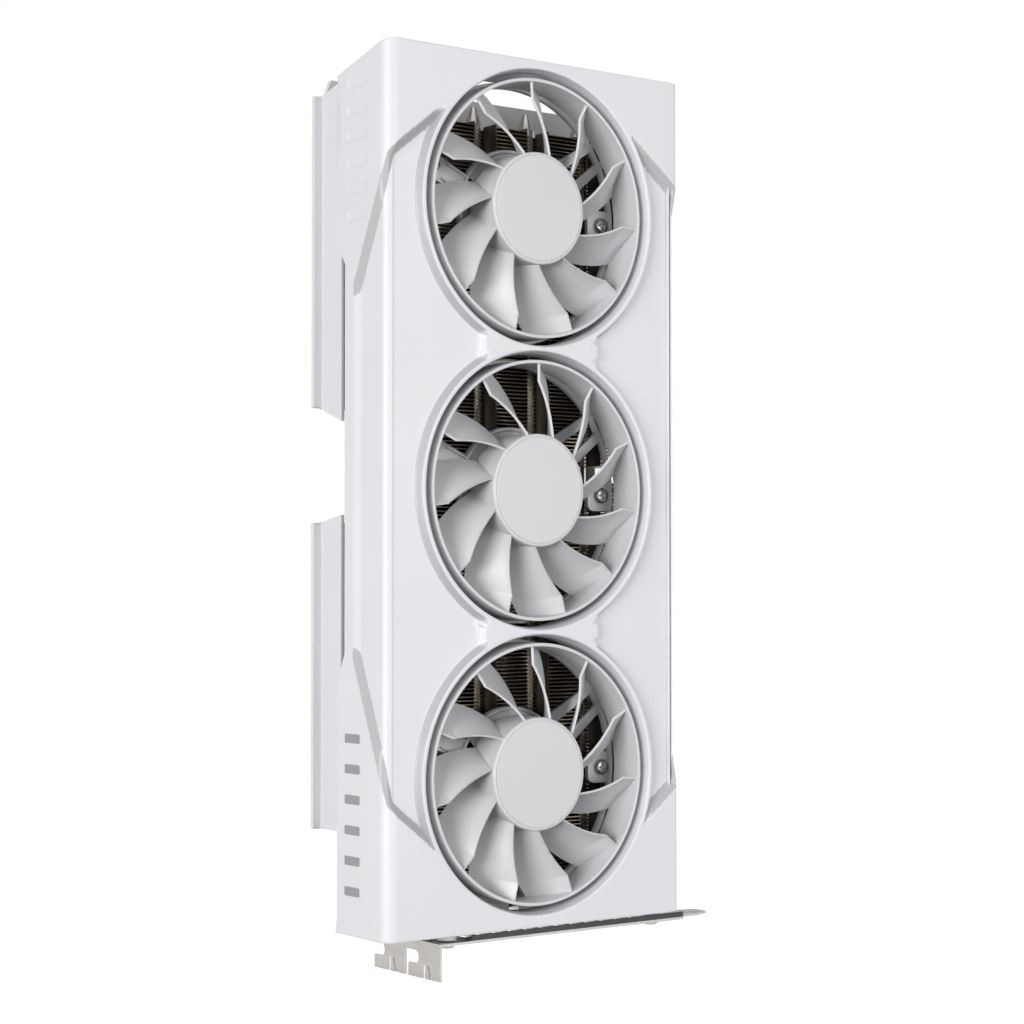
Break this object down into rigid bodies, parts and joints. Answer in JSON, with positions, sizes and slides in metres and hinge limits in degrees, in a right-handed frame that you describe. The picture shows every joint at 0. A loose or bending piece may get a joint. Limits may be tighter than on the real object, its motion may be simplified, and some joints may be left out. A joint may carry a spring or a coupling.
{
  "type": "graphics card",
  "caption": "White desktop expansion card: fans in a shroud blow through finned heat sinks over the board, with a metal slot bracket at the foot and a rear cover.",
  "frame": {"origin": "on the inner face of the bracket's flange, where the flange seats on a case's slot ledge", "axes": "+Z along the card from the bracket to the far end, +Y from the fan face to the rear cover, +X from the power-socket edge to the edge connector"},
  "size_m": [0.1447, 0.0456, 0.3053],
  "materials": {
    "white_plastic": "satin moulded plastic, cool white",
    "backplate_paint": "satin white powder coat",
    "rotor_plastic": "satin moulded plastic, white",
    "frame_plastic": "grey-white moulded plastic",
    "bracket_nickel": "nickel-plated sheet steel",
    "screw_steel": "nickel-plated steel",
    "port_shell": "nickel-plated shell",
    "socket_plastic": "black moulded nylon",
    "board": "black solder mask",
    "silicon": "polished silicon",
    "chip_mould": "black moulding compound",
    "choke_ferrite": "grey moulded ferrite",
    "cold_plate_metal": "nickel-plated copper",
    "pipe_metal": "nickel-plated copper tube",
    "fin_metal": "thin stamped sheet, dark in its depth",
    "spring_steel": "zinc-plated spring steel",
    "magnet_ferrite": "bonded ferrite",
    "shaft_steel": "ground steel",
    "bearing_bronze": "sintered bronze",
    "stator_copper": "enamelled copper winding"
  },
  "bodies": {
    "card": {"shroud": "white_plastic", "backplate": "backplate_paint", "circuit_board": "board", "bracket": "bracket_nickel", "power_socket": "socket_plastic", "gpu_package": "board", "gpu_die": "silicon", "cold_plate": "cold_plate_metal", "retention_plate": "spring_steel", "fin_stack_foot": "fin_metal", "fin_stack_far": "fin_metal", "hdmi_port": "port_shell", "display_port_1": "port_shell", "heat_pipe_1": "pipe_metal", "power_choke_1": "choke_ferrite", "display_port_2": "port_shell", "heat_pipe_2": "pipe_metal", "power_choke_2": "choke_ferrite", "display_port_3": "port_shell", "heat_pipe_3": "pipe_metal", "power_choke_3": "choke_ferrite", "memory_chip_1": "chip_mould", "backplate_screw_1": "screw_steel", "memory_chip_2": "chip_mould", "backplate_screw_2": "screw_steel", "memory_chip_3": "chip_mould", "backplate_screw_3": "screw_steel", "memory_chip_4": "chip_mould", "backplate_screw_4": "screw_steel", "bracket_screw_1": "screw_steel", "bracket_screw_2": "screw_steel", "fan_1_bearing": "bearing_bronze", "fan_1_stator": "stator_copper", "fan_1_frame": "frame_plastic", "fan_1_screw_1": "screw_steel", "fan_1_screw_2": "screw_steel", "fan_1_screw_3": "screw_steel", "fan_2_bearing": "bearing_bronze", "fan_2_stator": "stator_copper", "fan_2_frame": "frame_plastic", "fan_2_screw_1": "screw_steel", "fan_2_screw_2": "screw_steel", "fan_2_screw_3": "screw_steel", "fan_3_bearing": "bearing_bronze", "fan_3_stator": "stator_copper", "fan_3_frame": "frame_plastic", "fan_3_screw_1": "screw_steel", "fan_3_screw_2": "screw_steel", "fan_3_screw_3": "screw_steel"},
    "fan_1": {"fan_1_rotor": "rotor_plastic", "fan_1_magnet": "magnet_ferrite", "fan_1_shaft": "shaft_steel"},
    "fan_2": {"fan_2_rotor": "rotor_plastic", "fan_2_magnet": "magnet_ferrite", "fan_2_shaft": "shaft_steel"},
    "fan_3": {"fan_3_rotor": "rotor_plastic", "fan_3_magnet": "magnet_ferrite", "fan_3_shaft": "shaft_steel"}
  },
  "joints": [
    {"name": "fan_1_spin", "type": "hinge", "parent": "card", "child": "fan_1", "pos_m": [0.03694, -0.0076, 0.25], "axis": [0, -1, 0], "continuous": true},
    {"name": "fan_2_spin", "type": "hinge", "parent": "card", "child": "fan_2", "pos_m": [0.03694, -0.0076, 0.1551], "axis": [0, -1, 0], "continuous": true},
    {"name": "fan_3_spin", "type": "hinge", "parent": "card", "child": "fan_3", "pos_m": [0.03694, -0.0076, 0.0602], "axis": [0, -1, 0], "continuous": true}
  ]
}
